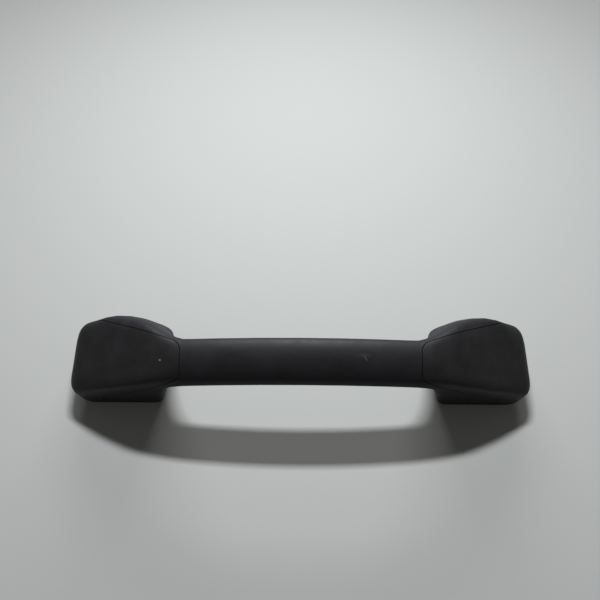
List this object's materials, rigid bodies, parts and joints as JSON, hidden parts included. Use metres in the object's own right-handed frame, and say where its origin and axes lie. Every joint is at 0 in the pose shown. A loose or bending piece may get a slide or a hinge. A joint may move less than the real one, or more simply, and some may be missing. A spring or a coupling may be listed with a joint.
{
  "type": "roof grab handle",
  "caption": "Moulded vehicle roof grab handle: leaning bow-shaped bar on two wide feet, with a hinged tongue-shaped cover over the screw pocket of each foot.",
  "frame": {"origin": "middle of the handle's length and width, on the plane of the feet", "axes": "+X along the handle, +Z away from the surface it is screwed to, and the broad face of the bar leans towards -Y"},
  "size_m": [0.245, 0.039, 0.0436],
  "materials": {
    "grip": "moulded, fine matte grain",
    "cover": "moulded, fine matte grain",
    "steel": "zinc plated"
  },
  "bodies": {
    "grip": {"grip_moulding": "grip", "left_screw_plate": "steel", "right_screw_plate": "steel", "left_inner_bush": "steel", "left_outer_bush": "steel", "right_inner_bush": "steel", "right_outer_bush": "steel"},
    "left_cover": {"left_end_cover": "cover"},
    "right_cover": {"right_end_cover": "cover"}
  },
  "joints": [
    {"name": "left_cover_hinge", "type": "hinge", "parent": "grip", "child": "left_cover", "pos_m": [-0.114, 0, 0.0088], "axis": [0, -1, 0], "range_deg": [0, 95]},
    {"name": "right_cover_hinge", "type": "hinge", "parent": "grip", "child": "right_cover", "pos_m": [0.114, 0, 0.0088], "axis": [0, 1, 0], "range_deg": [0, 95]}
  ]
}
